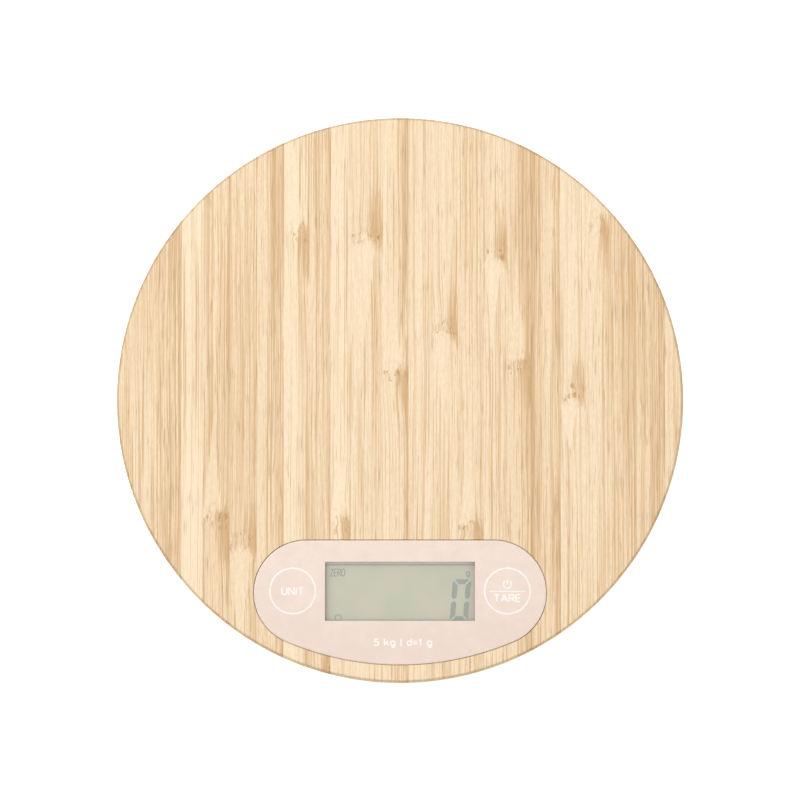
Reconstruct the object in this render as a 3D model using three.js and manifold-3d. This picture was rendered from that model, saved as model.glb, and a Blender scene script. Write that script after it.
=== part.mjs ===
// Round bamboo kitchen scale: a solid platform with a display panel let into its front edge,
// a moulded base under it, and a strain-gauge load cell above each of its four feet.
//
// Units are millimetres. +Z is up and the panel is at the front, towards -Y.
// The origin is the middle of the surface that the feet stand on.

import * as THREE from 'three';
import { mergeVertices } from 'three/addons/utils/BufferGeometryUtils.js';
import Module from 'manifold-3d';

const wasm = await Module();
wasm.setup();

// ---------------------------------------------------------------- driving dimensions

const GAP = 0.3; // air left between two pieces that touch on the real scale
const OVERRUN = 1; // how far a cutter runs past the face that it opens

const PLATFORM = { radius: 100, thickness: 8, top: 18, edgeRound: 1.2 };
const PLATFORM_BOTTOM = PLATFORM.top - PLATFORM.thickness;

// Panel outline: a straight back edge, two round ends and a shallow front arc, all tangent.
const PANEL = {
  endX: 33, // centre of each round end
  endY: -68.4,
  endRadius: 18.7,
  frontArcY: 8.1, // centre of the front arc
  frontArcRadius: 102,
};
const RECESS_DEPTH = 0.9;
const RECESS_FLOOR = PLATFORM.top - RECESS_DEPTH;

const FILM = { inset: 0.4, thickness: 0.5, bottom: RECESS_FLOOR + GAP };
const FILM_TOP = FILM.bottom + FILM.thickness;

// Opening that the digits are seen through. A band of the carrier shows along its back edge.
const SIGHT = { width: 52.8, depth: 20.8, y: -67.9, bandAtBack: 0.9 };

const KEY = {
  x: 37.8,
  y: -67.8,
  radius: 7.8,
  travel: 0.3,
  dome: 0.15,
  shoulder: 0.7, // width of the slope round the dome
  stemRadius: 2,
  stemGap: 0.2, // air under the stem with the key up
  clearance: 0.1, // air left at the end of the key's travel
};
const KEY_BORE = KEY.radius + GAP;

const FRAME = {
  flangeInset: 1.5,
  bodyInset: 4,
  top: RECESS_FLOOR,
  flangeBottom: 15.8,
  ledgeBottom: 15.4,
  bottom: 12.2,
};
const KEY_SHELF = 15.9; // floor of the cup that each key sinks into
const SWITCH_WELL = 5.2;

const WINDOW = { width: 55.4, depth: 23.4, thickness: 1 };
const WINDOW_BOTTOM = FRAME.flangeBottom + GAP;

const LCD = { width: 56.8, back: -55.5, front: -81.5, glass: 0.8, contactLedge: 2.6, top: 15.1 };
const LCD_REAR_TOP = LCD.top - LCD.glass - GAP;
const REFLECTOR = { thickness: 0.2, gap: 0.3 };
const ZEBRA = { width: 52, depth: 2, wallGap: GAP };

const BOARD = { inset: 5, thickness: 1.6, bottom: 10.3 };
const BOARD_TOP = BOARD.bottom + BOARD.thickness;
const CHIP = { radius: 6, height: 1.4, x: -3, y: -70 }; // hangs under the board
const CAPACITOR = { radius: 2.5, height: 4, x: 20, y: -72 };

const SWITCH = { side: 6, height: 2.8, stemRadius: 1.7, stemLength: 1.8, wellDepth: 2 };

const BOARD_SCREW = {
  places: [[-31.5, -57.5], [31.5, -57.5], [-31.5, -79], [31.5, -79]],
  headRadius: 1.9,
  headHeight: 1.2,
  shankRadius: 0.9,
  length: 5,
  slot: 2.4,
  slotWidth: 0.5,
  slotDepth: 0.6,
};

const BASE = {
  radius: 92,
  bottom: 3,
  top: PLATFORM_BOTTOM - GAP,
  floor: 1.8,
  wall: 1.8,
  edgeRound: 2.4,
};
const BASE_FLOOR = BASE.bottom + BASE.floor;
const RIB = { radius: 44, width: 1.2, height: 1.5, angles: [0, 90, 180, 270] };
const RIB_BOTTOM = BASE.bottom + BASE.floor / 2; // the ribs grow out of the floor

const BASE_SCREW = {
  places: [[82, 0], [-82, 0], [28, 77], [-28, 77], [24, -44], [-24, -44]],
  headRadius: 2.6,
  headHeight: 1.7,
  shankRadius: 1.4,
  length: 9.3,
  slot: 3.4,
  slotWidth: 0.8,
  slotDepth: 1,
  recess: 3, // how deep the counterbore runs up from the underside
};
const BOSS_RADIUS = 4.5;

// Feet and load cells, placed on the diagonals. In a foot's own frame +X points outwards.
const FOOT = { ring: 72, padRadius: 8.2, padHeight: 1.4, bodyRadius: 9.5, holeRadius: 10 };
const FOOT_FLANGE = { radius: 12, thickness: 1 };
const FOOT_STEM = { radius: 3, top: 6.7 };
const FOOT_RECESS = { radius: 8.5, top: 1.7 };
const FOOT_BODY_BOTTOM = 0.9;
const CORNERS = [
  { name: 'front_left', angle: 225 },
  { name: 'front_right', angle: 315 },
  { name: 'back_left', angle: 135 },
  { name: 'back_right', angle: 45 },
];
const CELL = { side: 28, corner: 2, thickness: 1.2, bottom: 7.2 };
const CELL_TOP = CELL.bottom + CELL.thickness;
const TONGUE = { halfWidth: 6.5, slot: 2.5, root: -6 };
const CELL_POST = { place: 11.5, radius: 1.8, top: CELL.bottom - GAP };
const GAUGE = { length: 6, width: 5, thickness: 0.4, x: -6 };
const BRACKET = { side: 30, opening: 22, bottom: CELL_TOP + GAP, top: PLATFORM_BOTTOM - GAP };

// Coin cell bay in the underside, closed by a quarter-turn door.
const BAY = { x: 0, y: 22, innerRadius: 16.5, outerRadius: 18, top: 8 };
const COIN = { radius: 10, thickness: 3.2, bottom: 4.7, edge: 0.4 };
const COIN_TOP = COIN.bottom + COIN.thickness;
const DOOR = { radius: 13, rimRadius: 10.8, bottom: 3.2, floor: 1.2, top: 6.1 };
const DOOR_SLOT = { length: 14, width: 1.8, depth: 0.7 };
const LUG = { radius: 15.4, thickness: 1, spread: 30, angles: [30, 150, 270] };
const DOOR_TURN = 60; // degrees from locked to the lugs lying over their notches
const NOTCH = { radius: 15.8, spread: 36 };
const CONTACT = {
  width: 4,
  thickness: 0.4,
  bottom: 8.3,
  outer: 22, // solder end, from the middle of the bay
  turn: 25,
  tabBottom: 6.6,
  reach: 2, // how far the negative contact runs past the middle of the cell
};

const CELL_LEAD_RADIUS = 0.6;
const BATTERY_LEAD_RADIUS = 0.5;
const LEAD_STEPS = 16;
const LEAD_HALF_SIDES = 3;

// Facets round a full turn, by how large the round feature is.
const FACETS = { huge: 80, large: 40, medium: 24, small: 12, tiny: 8 };
const ROUND_STEPS = 2; // chords in a rounded edge
const DOME_STEPS = 3; // chords from the middle of a dome to its rim

// ---------------------------------------------------------------- materials

const matte = (color, roughness) => new THREE.MeshStandardMaterial({ color, roughness });
const metal = (color, roughness) => new THREE.MeshStandardMaterial({ color, roughness, metalness: 1 });

const MATERIALS = {
  bamboo: matte(0xefd3ab, 0.55),
  film: matte(0xf0ddd0, 0.4),
  keyFilm: matte(0xf2e0d4, 0.4),
  clear: new THREE.MeshStandardMaterial({
    color: 0xf4f6f4,
    roughness: 0.05,
    transparent: true,
    opacity: 0.3,
  }),
  frame: matte(0xc9c4b4, 0.6),
  lcdGlass: matte(0xcac7b4, 0.2),
  reflector: metal(0xc8c8c0, 0.5),
  zebra: matte(0x5a5a5e, 0.8),
  board: matte(0x2f6b3c, 0.5),
  epoxy: matte(0x151515, 0.3),
  switchBody: matte(0x202022, 0.5),
  base: matte(0xf1eee8, 0.55),
  rubber: matte(0xd9d6d0, 0.9),
  steel: metal(0xb9bbbd, 0.35),
  gauge: matte(0xf3f0e6, 0.6),
  redWire: matte(0xb8322c, 0.5),
  blackWire: matte(0x1e1e20, 0.5),
  greyWire: matte(0x8c8c90, 0.5),
};

// ---------------------------------------------------------------- solids

const degrees = THREE.MathUtils.degToRad;

// Welds a closed geometry's corners together and drops the slivers left where they meet.
function weld(geometry) {
  const bare = geometry.index ? geometry.toNonIndexed() : geometry.clone();
  bare.deleteAttribute('normal');
  bare.deleteAttribute('uv');
  const merged = mergeVertices(bare, 1e-4);
  const corners = merged.index.array;
  const kept = [];
  for (let i = 0; i < corners.length; i += 3) {
    const [a, b, c] = [corners[i], corners[i + 1], corners[i + 2]];
    if (a !== b && b !== c && c !== a) kept.push(a, b, c);
  }
  merged.setIndex(kept);
  return merged;
}

function toSolid(geometry) {
  const welded = weld(geometry);
  return new wasm.Manifold(new wasm.Mesh({
    numProp: 3,
    vertProperties: new Float32Array(welded.attributes.position.array),
    triVerts: new Uint32Array(welded.index.array),
  }));
}

function toGeometry(solid) {
  const mesh = solid.getMesh();
  const geometry = new THREE.BufferGeometry();
  geometry.setAttribute('position', new THREE.BufferAttribute(mesh.vertProperties, 3));
  geometry.setIndex(new THREE.BufferAttribute(mesh.triVerts, 1));
  geometry.computeVertexNormals();
  return geometry;
}

function combine(body, added, removed = []) {
  let solid = toSolid(body);
  for (const piece of added) solid = solid.add(toSolid(piece));
  for (const piece of removed) solid = solid.subtract(toSolid(piece));
  return toGeometry(solid);
}

const cut = (body, ...removed) => combine(body, [], removed);

function prism(shape, bottom, top, facets = FACETS.large) {
  const settings = { depth: top - bottom, bevelEnabled: false, curveSegments: facets / 4 };
  return new THREE.ExtrudeGeometry(shape, settings).translate(0, 0, bottom);
}

function disc(radius, bottom, top, facets = FACETS.medium) {
  return new THREE.CylinderGeometry(radius, radius, top - bottom, facets)
    .rotateX(Math.PI / 2)
    .translate(0, 0, (bottom + top) / 2);
}

function block(width, depth, bottom, top, x = 0, y = 0) {
  return new THREE.BoxGeometry(width, depth, top - bottom)
    .translate(x, y, (bottom + top) / 2);
}

// Turns a closed [radius, height] profile about Z.
function revolve(profile, facets) {
  const points = profile.map(([radius, height]) => new THREE.Vector2(radius, height));
  return new THREE.LatheGeometry(points, facets).rotateX(Math.PI / 2);
}

// Points of a rounded corner, as [radius, height] pairs.
function roundCorner(centreR, centreZ, radius, from, to) {
  const points = [];
  for (let i = 0; i <= ROUND_STEPS; i += 1) {
    const angle = degrees(from + ((to - from) * i) / ROUND_STEPS);
    points.push([centreR + radius * Math.cos(angle), centreZ + radius * Math.sin(angle)]);
  }
  return points;
}

// Points of a low dome that hangs from a flat face, from its lowest point out to its rim.
function hangingDome(radius, height, top) {
  const points = [];
  for (let i = 0; i <= DOME_STEPS; i += 1) {
    const angle = (Math.PI / 2) * (i / DOME_STEPS);
    points.push([radius * Math.sin(angle), top - height * Math.cos(angle)]);
  }
  return points;
}

// A slice of a flat ring, used for the door's lugs and the notches that let them out.
function ringSlice(inner, outer, middle, spread, bottom, top) {
  const start = degrees(middle - spread / 2);
  const end = degrees(middle + spread / 2);
  const shape = new THREE.Shape();
  shape.absarc(0, 0, outer, start, end, false);
  shape.absarc(0, 0, inner, end, start, true);
  return prism(shape, bottom, top, FACETS.small);
}

const moved = (geometry, x, y) => geometry.translate(x, y, 0);

// ---------------------------------------------------------------- panel outline

// The panel's outline, pulled in all round by inset.
function panelShape(inset) {
  const { endX, endY, endRadius, frontArcY, frontArcRadius } = PANEL;
  const joint = Math.atan2(endY - frontArcY, endX);
  const radius = endRadius - inset;
  const shape = new THREE.Shape();
  shape.moveTo(-endX, endY + radius);
  shape.absarc(endX, endY, radius, Math.PI / 2, joint, true);
  shape.absarc(0, frontArcY, frontArcRadius - inset, joint, -Math.PI - joint, true);
  shape.absarc(-endX, endY, radius, -Math.PI - joint, -1.5 * Math.PI, true);
  return shape;
}

const panelPrism = (inset, bottom, top) => prism(panelShape(inset), bottom, top);

// ---------------------------------------------------------------- scene

const scale = new THREE.Group();
scale.name = 'kitchen_scale';

function addPart(name, geometry, material, group = scale) {
  const mesh = new THREE.Mesh(geometry, material);
  mesh.name = name;
  group.add(mesh);
}

function addGroup(x, y, angle) {
  const group = new THREE.Group();
  group.position.set(x, y, 0);
  group.rotation.z = degrees(angle);
  scale.add(group);
  return group;
}

// ---------------------------------------------------------------- platform and panel

function platform() {
  const { radius, top, edgeRound } = PLATFORM;
  const flat = radius - edgeRound;
  const blank = revolve([
    [0, PLATFORM_BOTTOM],
    ...roundCorner(flat, PLATFORM_BOTTOM + edgeRound, edgeRound, -90, 0),
    ...roundCorner(flat, top - edgeRound, edgeRound, 0, 90),
    [0, top],
  ], FACETS.huge);
  const screwTop = PLATFORM_BOTTOM + BASE_SCREW.length - BASE_SCREW.recess;
  const pilots = BASE_SCREW.places.map(([x, y]) => moved(
    disc(BASE_SCREW.shankRadius + GAP, PLATFORM_BOTTOM - OVERRUN, screwTop, FACETS.small),
    x,
    y,
  ));
  return cut(
    blank,
    panelPrism(0, RECESS_FLOOR, top + OVERRUN),
    panelPrism(FRAME.flangeInset - GAP, FRAME.flangeBottom - GAP, RECESS_FLOOR + OVERRUN),
    panelPrism(FRAME.bodyInset - GAP, PLATFORM_BOTTOM - OVERRUN, top),
    ...pilots,
  );
}

function keyDiscs(radius, bottom, top, facets = FACETS.large) {
  return [-KEY.x, KEY.x].map((x) => moved(disc(radius, bottom, top, facets), x, KEY.y));
}

function panelFilm() {
  return cut(
    panelPrism(FILM.inset, FILM.bottom, FILM_TOP),
    block(SIGHT.width, SIGHT.depth, FILM.bottom - OVERRUN, FILM_TOP + OVERRUN, 0, SIGHT.y),
    ...keyDiscs(KEY_BORE, FILM.bottom - OVERRUN, FILM_TOP + OVERRUN),
  );
}

// Moulded carrier under the film: it holds the window, the display and the keys.
function displayFrame() {
  const seat = { width: WINDOW.width + 2 * GAP, depth: WINDOW.depth + 2 * GAP };
  const lcdDepth = LCD.back - LCD.front;
  const lcdY = (LCD.back + LCD.front) / 2;
  const sightDepth = SIGHT.depth + 2 * GAP - SIGHT.bandAtBack;
  const sightY = SIGHT.y - SIGHT.bandAtBack / 2;
  const screwHoles = BOARD_SCREW.places.map(([x, y]) => moved(
    disc(BOARD_SCREW.shankRadius + GAP, FRAME.bottom - OVERRUN, KEY_SHELF - GAP, FACETS.small),
    x,
    y,
  ));
  return combine(
    panelPrism(FRAME.bodyInset, FRAME.bottom, FRAME.flangeBottom),
    [panelPrism(FRAME.flangeInset, FRAME.flangeBottom, FRAME.top)],
    [
      block(seat.width, seat.depth, FRAME.flangeBottom, FRAME.top + OVERRUN, 0, SIGHT.y),
      block(SIGHT.width + 2 * GAP, sightDepth, FRAME.bottom, FRAME.top, 0, sightY),
      block(
        LCD.width + 2 * GAP,
        lcdDepth + 2 * GAP,
        FRAME.bottom - OVERRUN,
        FRAME.ledgeBottom,
        0,
        lcdY,
      ),
      ...keyDiscs(KEY_BORE, KEY_SHELF, FRAME.top + OVERRUN),
      ...keyDiscs(SWITCH_WELL, FRAME.bottom - OVERRUN, FRAME.top, FACETS.medium),
      ...screwHoles,
    ],
  );
}

// A key is the flat button under one printed ring, with a short stem on its underside.
function keyButton() {
  const stemBottom = KEY_SHELF + KEY.stemGap;
  const bottom = KEY_SHELF + KEY.travel + KEY.clearance;
  return revolve([
    [0, stemBottom],
    [KEY.stemRadius, stemBottom],
    [KEY.stemRadius, bottom],
    [KEY.radius, bottom],
    [KEY.radius, FILM_TOP],
    [KEY.radius - KEY.shoulder, FILM_TOP + KEY.dome],
    [0, FILM_TOP + KEY.dome],
  ], FACETS.large);
}

function addKeys() {
  const bodyTop = FRAME.bottom + SWITCH.height;
  const stemTop = KEY_SHELF - KEY.clearance;
  for (const [name, x] of [['unit', -KEY.x], ['tare', KEY.x]]) {
    const group = addGroup(x, KEY.y, 0);
    const body = cut(
      block(SWITCH.side, SWITCH.side, FRAME.bottom, bodyTop),
      disc(SWITCH.stemRadius + GAP, bodyTop - SWITCH.wellDepth, bodyTop + OVERRUN, FACETS.small),
    );
    const stem = disc(SWITCH.stemRadius, stemTop - SWITCH.stemLength, stemTop, FACETS.small);
    addPart(`${name}_key`, keyButton(), MATERIALS.keyFilm, group);
    addPart(`${name}_switch_body`, body, MATERIALS.switchBody, group);
    addPart(`${name}_switch_stem`, stem, MATERIALS.switchBody, group);
  }
}

// ---------------------------------------------------------------- display and circuit board

function lcdPlate(bottom, thickness, front) {
  const depth = LCD.back - front;
  return block(LCD.width, depth, bottom, bottom + thickness, 0, (LCD.back + front) / 2);
}

function addDisplay() {
  const rearFront = LCD.front + LCD.contactLedge;
  const rearBottom = LCD_REAR_TOP - LCD.glass;
  const reflectorBottom = rearBottom - REFLECTOR.gap - REFLECTOR.thickness;
  const window = block(
    WINDOW.width,
    WINDOW.depth,
    WINDOW_BOTTOM,
    WINDOW_BOTTOM + WINDOW.thickness,
    0,
    SIGHT.y,
  );
  const zebraY = LCD.front + ZEBRA.wallGap + ZEBRA.depth / 2;
  const zebra = block(ZEBRA.width, ZEBRA.depth, FRAME.bottom, LCD_REAR_TOP, 0, zebraY);
  addPart('display_window', window, MATERIALS.clear);
  addPart('lcd_front_glass', lcdPlate(LCD.top - LCD.glass, LCD.glass, LCD.front), MATERIALS.lcdGlass);
  addPart('lcd_rear_glass', lcdPlate(rearBottom, LCD.glass, rearFront), MATERIALS.lcdGlass);
  addPart(
    'lcd_reflector',
    lcdPlate(reflectorBottom, REFLECTOR.thickness, rearFront),
    MATERIALS.reflector,
  );
  addPart('zebra_connector', zebra, MATERIALS.zebra);
}

function circuitBoard() {
  const holes = BOARD_SCREW.places.map(([x, y]) => moved(
    disc(BOARD_SCREW.shankRadius + GAP, BOARD.bottom - OVERRUN, BOARD_TOP + OVERRUN, FACETS.small),
    x,
    y,
  ));
  return cut(panelPrism(BOARD.inset, BOARD.bottom, BOARD_TOP), ...holes);
}

function addBoard() {
  const under = BOARD.bottom - GAP;
  const dome = revolve([...hangingDome(CHIP.radius, CHIP.height, under), [0, under]], FACETS.medium);
  const can = disc(CAPACITOR.radius, under - CAPACITOR.height, under, FACETS.small);
  addPart('main_board', circuitBoard(), MATERIALS.board);
  addPart('chip_cover', moved(dome, CHIP.x, CHIP.y), MATERIALS.epoxy);
  addPart('capacitor', moved(can, CAPACITOR.x, CAPACITOR.y), MATERIALS.steel);
}

// ---------------------------------------------------------------- base and screws

// A cross-recessed screw that points up, with the underside of its head at headTop.
function screw(size, headTop) {
  const headBottom = headTop - size.headHeight;
  const rounding = size.headHeight / 3;
  const body = revolve([
    [0, headBottom],
    [size.headRadius - rounding, headBottom],
    [size.headRadius, headBottom + rounding],
    [size.headRadius, headTop],
    [size.shankRadius, headTop],
    [size.shankRadius, headTop + size.length - size.shankRadius],
    [0, headTop + size.length],
  ], FACETS.small);
  const slotTop = headBottom + size.slotDepth;
  const slot = (width, depth) => block(width, depth, headBottom - OVERRUN, slotTop);
  return cut(body, slot(size.slot, size.slotWidth), slot(size.slotWidth, size.slot));
}

function addScrews(name, size, headTop) {
  size.places.forEach(([x, y], index) => {
    addPart(`${name}_${index + 1}`, moved(screw(size, headTop), x, y), MATERIALS.steel);
  });
}

// Where a point in a corner's own frame lies in the scale's frame.
function cornerPlace(angle, x, y) {
  const turn = degrees(angle);
  const out = FOOT.ring + x;
  return [
    out * Math.cos(turn) - y * Math.sin(turn),
    out * Math.sin(turn) + y * Math.cos(turn),
  ];
}

function tray() {
  const { radius, bottom, top, wall, edgeRound } = BASE;
  return revolve([
    [0, bottom],
    ...roundCorner(radius - edgeRound, bottom + edgeRound, edgeRound, -90, 0),
    [radius, top],
    [radius - wall, top],
    [radius - wall, BASE_FLOOR],
    [0, BASE_FLOOR],
  ], FACETS.huge);
}

function ringWall(inner, outer, bottom, top) {
  return cut(
    disc(outer, bottom, top, FACETS.large),
    disc(inner, bottom - OVERRUN, top + OVERRUN, FACETS.large),
  );
}

function basePosts() {
  const posts = BASE_SCREW.places.map(([x, y]) => moved(
    disc(BOSS_RADIUS, BASE.bottom, BASE.top, FACETS.small),
    x,
    y,
  ));
  for (const { angle } of CORNERS) {
    for (const [sideX, sideY] of [[-1, -1], [-1, 1], [1, -1], [1, 1]]) {
      const [x, y] = cornerPlace(angle, sideX * CELL_POST.place, sideY * CELL_POST.place);
      posts.push(moved(disc(CELL_POST.radius, BASE.bottom, CELL_POST.top, FACETS.tiny), x, y));
    }
  }
  return posts;
}

function baseRibs() {
  const ribTop = BASE_FLOOR + RIB.height;
  const reach = BASE.radius - BASE.wall - RIB.radius;
  const ribs = RIB.angles.map((angle) => (
    block(reach + RIB.width, RIB.width, RIB_BOTTOM, ribTop, RIB.radius + reach / 2, 0)
      .rotateZ(degrees(angle))
  ));
  ribs.push(ringWall(RIB.radius, RIB.radius + RIB.width, RIB_BOTTOM, ribTop));
  return ribs;
}

function baseHousing() {
  const low = BASE.bottom - OVERRUN;
  const bay = moved(ringWall(BAY.innerRadius, BAY.outerRadius, BASE.bottom, BAY.top), BAY.x, BAY.y);
  const openings = [moved(disc(DOOR.radius + GAP, low, BAY.top, FACETS.large), BAY.x, BAY.y)];
  for (const angle of LUG.angles) {
    const notch = ringSlice(
      DOOR.radius - OVERRUN,
      NOTCH.radius,
      angle + DOOR_TURN,
      NOTCH.spread,
      low,
      BASE_FLOOR + OVERRUN,
    );
    openings.push(moved(notch, BAY.x, BAY.y));
  }
  for (const { angle } of CORNERS) {
    const [x, y] = cornerPlace(angle, 0, 0);
    openings.push(moved(disc(FOOT.holeRadius, low, BASE_FLOOR + OVERRUN), x, y));
  }
  for (const [x, y] of BASE_SCREW.places) {
    const counterbore = BASE_SCREW.headRadius + 2 * GAP;
    const shank = BASE_SCREW.shankRadius + GAP;
    const recessTop = BASE.bottom + BASE_SCREW.recess;
    openings.push(moved(disc(counterbore, low, recessTop, FACETS.small), x, y));
    openings.push(moved(disc(shank, low, BASE.top + OVERRUN, FACETS.small), x, y));
  }
  return combine(tray(), [...baseRibs(), ...basePosts(), bay], openings);
}

// ---------------------------------------------------------------- feet and load cells

function footCap() {
  const flangeBottom = BASE_FLOOR + GAP;
  const flangeTop = flangeBottom + FOOT_FLANGE.thickness;
  const chamfer = 0.5;
  return revolve([
    [0, FOOT_RECESS.top],
    [FOOT_RECESS.radius, FOOT_RECESS.top],
    [FOOT_RECESS.radius, FOOT_BODY_BOTTOM],
    [FOOT.bodyRadius - chamfer, FOOT_BODY_BOTTOM],
    [FOOT.bodyRadius, FOOT_BODY_BOTTOM + chamfer],
    [FOOT.bodyRadius, flangeBottom],
    [FOOT_FLANGE.radius, flangeBottom],
    [FOOT_FLANGE.radius, flangeTop],
    [FOOT_STEM.radius, flangeTop],
    [FOOT_STEM.radius, FOOT_STEM.top],
    [0, FOOT_STEM.top],
  ], FACETS.medium);
}

function footPad() {
  const chamfer = 0.4;
  return revolve([
    [0, 0],
    [FOOT.padRadius - chamfer, 0],
    [FOOT.padRadius, chamfer],
    [FOOT.padRadius, FOOT.padHeight],
    [0, FOOT.padHeight],
  ], FACETS.medium);
}

function roundedSquare(side, corner) {
  const edge = side / 2 - corner;
  const shape = new THREE.Shape();
  shape.absarc(edge, edge, corner, 0, Math.PI / 2, false);
  shape.absarc(-edge, edge, corner, Math.PI / 2, Math.PI, false);
  shape.absarc(-edge, -edge, corner, Math.PI, 1.5 * Math.PI, false);
  shape.absarc(edge, -edge, corner, 1.5 * Math.PI, 2 * Math.PI, false);
  return shape;
}

// Stamped steel plate with a U-shaped slot that frees a tongue for the foot to bend.
function loadCell() {
  const { halfWidth, slot, root } = TONGUE;
  const outer = halfWidth + slot;
  const plate = roundedSquare(CELL.side, CELL.corner);
  const points = [
    [root, outer],
    [outer, outer],
    [outer, -outer],
    [root, -outer],
    [root, -halfWidth],
    [halfWidth, -halfWidth],
    [halfWidth, halfWidth],
    [root, halfWidth],
  ];
  plate.holes.push(new THREE.Path(points.map(([x, y]) => new THREE.Vector2(x, y))));
  return prism(plate, CELL.bottom, CELL_TOP, FACETS.small);
}

// Three-sided bracket that backs the load cell's rim, open towards the middle for the lead.
function cellBracket() {
  const { side, opening, bottom, top } = BRACKET;
  return cut(
    prism(roundedSquare(side, CELL.corner), bottom, top, FACETS.small),
    block(opening, opening, bottom - OVERRUN, top + OVERRUN),
    block(side / 2, opening, bottom - OVERRUN, top + OVERRUN, -side / 2, 0),
  );
}

function addCorners() {
  const gaugeBottom = CELL_TOP + GAP;
  for (const { name, angle } of CORNERS) {
    const [x, y] = cornerPlace(angle, 0, 0);
    const group = addGroup(x, y, angle);
    const gaugeTop = gaugeBottom + GAUGE.thickness;
    const gauge = block(GAUGE.length, GAUGE.width, gaugeBottom, gaugeTop, GAUGE.x, 0);
    addPart(`foot_cap_${name}`, footCap(), MATERIALS.base, group);
    addPart(`foot_pad_${name}`, footPad(), MATERIALS.rubber, group);
    addPart(`load_cell_${name}`, loadCell(), MATERIALS.steel, group);
    addPart(`strain_gauge_${name}`, gauge, MATERIALS.gauge, group);
    addPart(`cell_bracket_${name}`, cellBracket(), MATERIALS.base, group);
  }
}

// ---------------------------------------------------------------- battery bay

function batteryDoor() {
  const lugBottom = BASE_FLOOR + GAP;
  const { radius, rimRadius, bottom, floor, top } = DOOR;
  const dish = revolve([
    [0, bottom],
    [radius, bottom],
    [radius, top],
    [rimRadius, top],
    [rimRadius, bottom + floor],
    [0, bottom + floor],
  ], FACETS.large);
  const lugs = LUG.angles.map((angle) => (
    ringSlice(radius - OVERRUN, LUG.radius, angle, LUG.spread, lugBottom, lugBottom + LUG.thickness)
  ));
  const slotBottom = bottom - OVERRUN;
  const slot = block(DOOR_SLOT.length, DOOR_SLOT.width, slotBottom, bottom + DOOR_SLOT.depth);
  return combine(dish, lugs, [slot]);
}

function coinCell() {
  const { radius, bottom, edge } = COIN;
  return revolve([
    [0, bottom],
    [radius - edge, bottom],
    [radius, bottom + edge],
    [radius, COIN_TOP - edge],
    [radius - 2 * edge, COIN_TOP],
    [0, COIN_TOP],
  ], FACETS.medium);
}

// A spring contact lies along -Y of its own frame, from its solder end to over the cell.
function contactStrip(innerY) {
  const length = CONTACT.outer + innerY;
  const top = CONTACT.bottom + CONTACT.thickness;
  return block(CONTACT.width, length, CONTACT.bottom, top, 0, innerY - length / 2);
}

function addBattery() {
  const bay = addGroup(BAY.x, BAY.y, 0);
  addPart('battery_door', batteryDoor(), MATERIALS.base, bay);
  addPart('coin_cell', coinCell(), MATERIALS.steel, bay);

  const negative = addGroup(BAY.x, BAY.y, -CONTACT.turn);
  addPart('battery_contact_negative', contactStrip(CONTACT.reach), MATERIALS.steel, negative);

  const positive = addGroup(BAY.x, BAY.y, CONTACT.turn);
  const tabOuter = COIN.radius + GAP + CONTACT.thickness;
  const tab = block(
    CONTACT.width,
    CONTACT.thickness,
    CONTACT.tabBottom,
    CONTACT.bottom + CONTACT.thickness,
    0,
    CONTACT.thickness / 2 - tabOuter,
  );
  const strip = combine(contactStrip(CONTACT.thickness - tabOuter), [tab]);
  addPart('battery_contact_positive', strip, MATERIALS.steel, positive);
}

// ---------------------------------------------------------------- wiring

function lead(radius, places) {
  const path = new THREE.CatmullRomCurve3(places.map((place) => new THREE.Vector3(...place)));
  const section = new THREE.Shape();
  section.absarc(0, 0, radius, 0, 2 * Math.PI, false);
  return new THREE.ExtrudeGeometry(section, {
    steps: LEAD_STEPS,
    curveSegments: LEAD_HALF_SIDES,
    extrudePath: path,
  });
}

// Every lead ends straight up at its pad on the underside of the circuit board.
function leadEnd(x) {
  return [[x, -56, 7.5], [x, -59, 8.6], [x, -59.6, BOARD.bottom - 2 * GAP]];
}

function addLeads() {
  const frontRoute = [[42.9, -42.9, 9.2], [38.5, -38.5, 8.9], [31, -34, 7.4], [19, -36, 7.2],
    [15.5, -46, 7.2]];
  const backRoute = [[42.9, 42.9, 9.2], [38.5, 38.5, 8.9], [34, 22, 7.4], [32, 2, 7.2],
    [25, -18, 7.2], [12, -33, 7.2], [10.5, -46, 7.2]];
  const batteryRoute = [[9.4, 1.6, 8.5], [9, -3, 8], [6.5, -18, 7.2], [5, -42, 7.2]];
  for (const [side, sign] of [['left', -1], ['right', 1]]) {
    const mirror = (places) => places.map(([x, y, z]) => [sign * x, y, z]);
    const front = mirror([...frontRoute, ...leadEnd(14)]);
    const back = mirror([...backRoute, ...leadEnd(9.5)]);
    addPart(`cell_lead_front_${side}`, lead(CELL_LEAD_RADIUS, front), MATERIALS.greyWire);
    addPart(`cell_lead_back_${side}`, lead(CELL_LEAD_RADIUS, back), MATERIALS.greyWire);
  }
  for (const [pole, sign, material] of [['negative', -1, 'blackWire'], ['positive', 1, 'redWire']]) {
    const places = [...batteryRoute, ...leadEnd(4.5)].map(([x, y, z]) => [sign * x, y, z]);
    addPart(`battery_lead_${pole}`, lead(BATTERY_LEAD_RADIUS, places), MATERIALS[material]);
  }
}

// ---------------------------------------------------------------- assembly

addPart('platform', platform(), MATERIALS.bamboo);
addPart('panel_film', panelFilm(), MATERIALS.film);
addPart('display_frame', displayFrame(), MATERIALS.frame);
addKeys();
addDisplay();
addBoard();
addScrews('board_screw', BOARD_SCREW, BOARD.bottom - GAP);
addPart('base_housing', baseHousing(), MATERIALS.base);
addScrews('base_screw', BASE_SCREW, BASE.bottom + BASE_SCREW.recess - GAP);
addCorners();
addBattery();
addLeads();

export default scale;
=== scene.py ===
"""Finishes and visible surfaces of a round bamboo kitchen scale.

The display panel is let into the front edge of the platform, towards -Y, and the load-cell
feet stand on z = 0. Shapes are worked out in millimetres and made in metres.
"""

import math

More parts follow.
